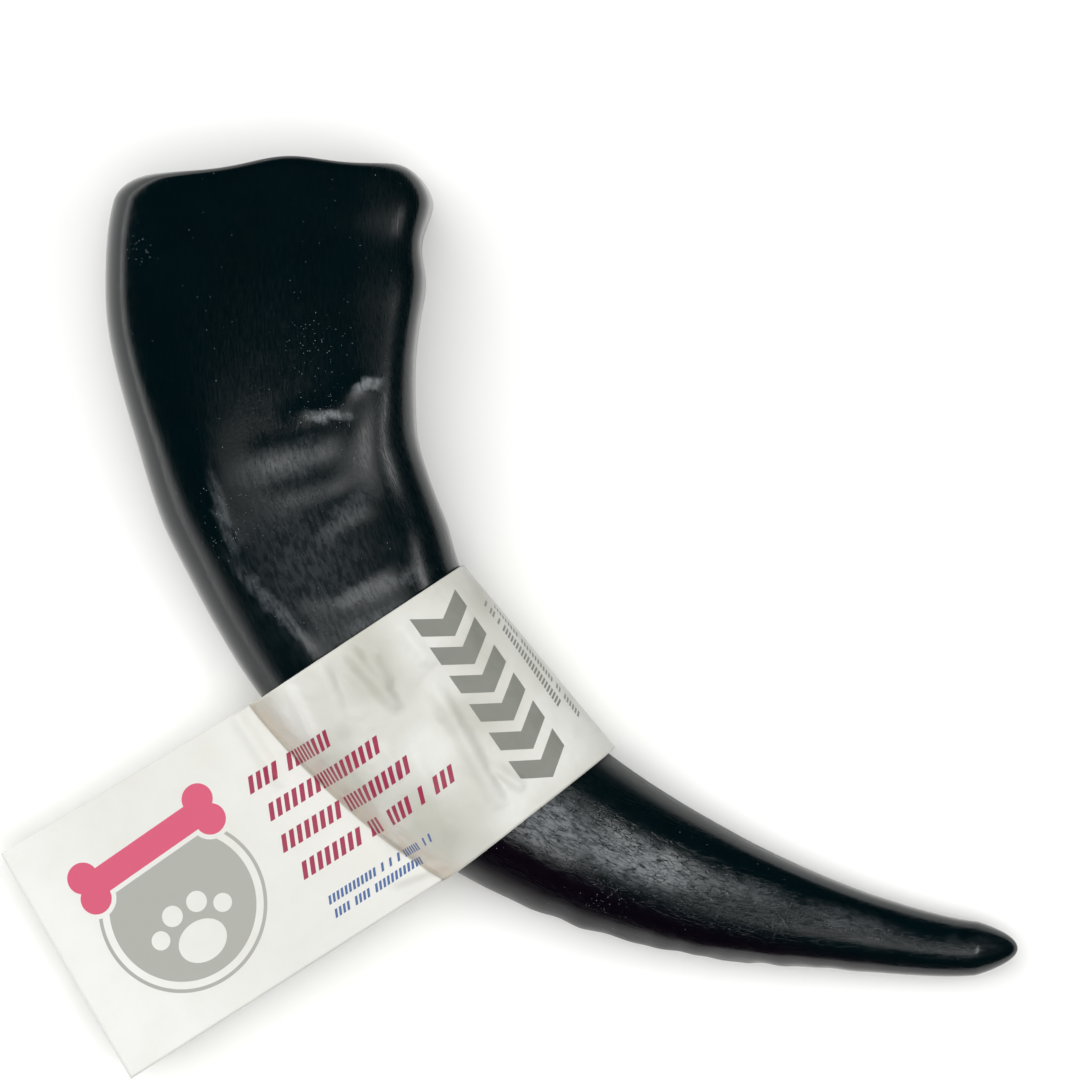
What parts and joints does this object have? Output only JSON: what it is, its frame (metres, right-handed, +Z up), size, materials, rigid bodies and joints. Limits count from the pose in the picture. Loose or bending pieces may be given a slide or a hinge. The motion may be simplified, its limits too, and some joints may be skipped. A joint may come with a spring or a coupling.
{
  "type": "horn dog chew",
  "caption": "Curved hollow-based buffalo horn chew lying on its flat side, with a folded paper label stuck round its middle.",
  "frame": {"origin": "on the resting plane, below the middle of the bounding box", "axes": "+X from the base's side towards the tip, +Y the way the hollow base opens, +Z up from the surface that the horn lies on"},
  "size_m": [0.1926, 0.1735, 0.0342],
  "materials": {
    "horn": "near-black natural horn, buffed to a satin, with fine scratches and soft ripples",
    "label_paper": "coated off-white label paper, satin, creased where it folds"
  },
  "bodies": {
    "root": {"horn": "horn", "label": "label_paper"}
  },
  "joints": []
}
